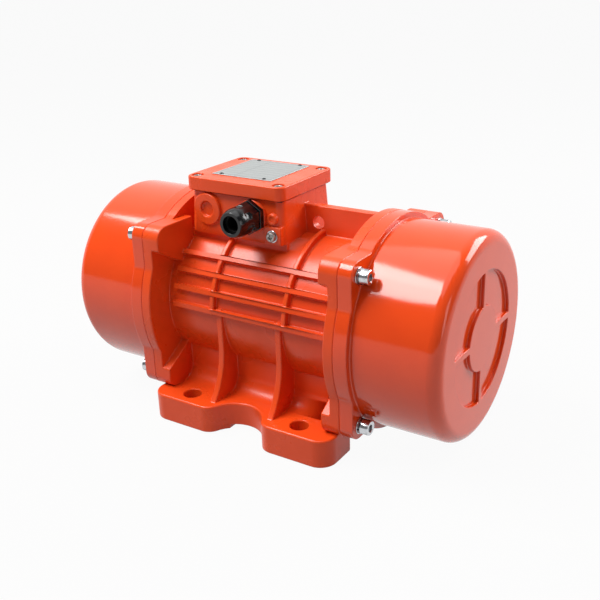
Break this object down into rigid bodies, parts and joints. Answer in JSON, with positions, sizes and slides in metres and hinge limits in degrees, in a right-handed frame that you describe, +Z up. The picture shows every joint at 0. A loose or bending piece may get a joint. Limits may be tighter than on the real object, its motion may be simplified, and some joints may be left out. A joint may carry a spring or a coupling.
{
  "type": "vibration motor",
  "caption": "Foot-mounted electric vibration motor with eccentric weights on both shaft ends under domed covers, and a terminal box with a cable gland on top.",
  "frame": {"origin": "centre of the base, on the plane the feet stand on, under the middle of the shaft", "axes": "+X along the shaft, -Y towards the side with the cable gland, +Z up from the feet to the terminal box lid"},
  "size_m": [0.385, 0.204, 0.2262],
  "materials": {
    "housing_paint": "satin paint over a cast surface",
    "cover_paint": "satin paint",
    "zinc_steel": "zinc-plated",
    "rubber": "matt",
    "cast_iron": "machined casting",
    "bearing_steel": "ground and polished",
    "cage_brass": "machined",
    "shaft_steel": "turned",
    "core_steel": "stacked laminations",
    "rotor_aluminium": "die-cast",
    "winding": "varnished copper winding",
    "plate": "brushed sheet",
    "gland_plastic": "moulded",
    "block_plastic": "moulded",
    "terminal_brass": "turned",
    "gasket": "matt"
  },
  "bodies": {
    "housing": {"earth_screw": "zinc_steel", "earth_washer": "zinc_steel", "gland_body": "gland_plastic", "gland_locknut": "gland_plastic", "gland_nut": "gland_plastic", "gland_seal": "gasket", "left_bearing_bracket": "cast_iron", "left_bearing_cap": "cast_iron", "left_bearing_cap_screws": "zinc_steel", "left_bearing_outer_ring": "bearing_steel", "left_bracket_screws": "zinc_steel", "left_cover_screws": "zinc_steel", "left_cover_seal": "rubber", "left_cover_washers": "zinc_steel", "left_weight_cover": "cover_paint", "lid_gasket": "gasket", "lid_screws": "zinc_steel", "motor_body": "housing_paint", "rating_plate": "plate", "rating_plate_rivets": "plate", "right_bearing_bracket": "cast_iron", "right_bearing_cap": "cast_iron", "right_bearing_cap_screws": "zinc_steel", "right_bearing_outer_ring": "bearing_steel", "right_bracket_screws": "zinc_steel", "right_cover_screws": "zinc_steel", "right_cover_seal": "rubber", "right_cover_washers": "zinc_steel", "right_weight_cover": "cover_paint", "stator_core": "core_steel", "stator_winding": "winding", "terminal_block": "block_plastic", "terminal_box_lid": "housing_paint", "terminal_nuts": "terminal_brass", "terminal_studs": "terminal_brass"},
    "rotor": {"shaft": "shaft_steel", "rotor_core": "core_steel", "rotor_cage": "rotor_aluminium", "right_bearing_inner_ring": "bearing_steel", "right_shaft_spacer": "shaft_steel", "right_fixed_weight": "cast_iron", "right_fixed_clamp": "zinc_steel", "right_weight_key": "zinc_steel", "right_end_washer": "zinc_steel", "right_circlip": "zinc_steel", "left_bearing_inner_ring": "bearing_steel", "left_shaft_spacer": "shaft_steel", "left_fixed_weight": "cast_iron", "left_fixed_clamp": "zinc_steel", "left_weight_key": "zinc_steel", "left_end_washer": "zinc_steel", "left_circlip": "zinc_steel"},
    "right_roller_cage": {"right_bearing_rollers": "bearing_steel", "right_bearing_cage": "cage_brass"},
    "left_roller_cage": {"left_bearing_rollers": "bearing_steel", "left_bearing_cage": "cage_brass"},
    "right_adjustable": {"right_adjustable_weight": "cast_iron", "right_adjustable_clamp": "zinc_steel"},
    "left_adjustable": {"left_adjustable_weight": "cast_iron", "left_adjustable_clamp": "zinc_steel"}
  },
  "joints": [
    {"name": "rotor_spin", "type": "hinge", "parent": "housing", "child": "rotor", "pos_m": [0, 0, 0.105], "axis": [1, 0, 0], "continuous": true},
    {"name": "right_cage_spin", "type": "hinge", "parent": "housing", "child": "right_roller_cage", "pos_m": [0, 0, 0.105], "axis": [1, 0, 0], "continuous": true},
    {"name": "left_cage_spin", "type": "hinge", "parent": "housing", "child": "left_roller_cage", "pos_m": [0, 0, 0.105], "axis": [1, 0, 0], "continuous": true},
    {"name": "right_weight_setting", "type": "hinge", "parent": "rotor", "child": "right_adjustable", "pos_m": [0, 0, 0.105], "axis": [1, 0, 0], "range_deg": [0, 180]},
    {"name": "left_weight_setting", "type": "hinge", "parent": "rotor", "child": "left_adjustable", "pos_m": [0, 0, 0.105], "axis": [1, 0, 0], "range_deg": [0, 180]}
  ],
  "couplings": [
    {"joint": "right_cage_spin", "follows": "rotor_spin", "ratio": 0.4086},
    {"joint": "left_cage_spin", "follows": "rotor_spin", "ratio": 0.4086}
  ]
}
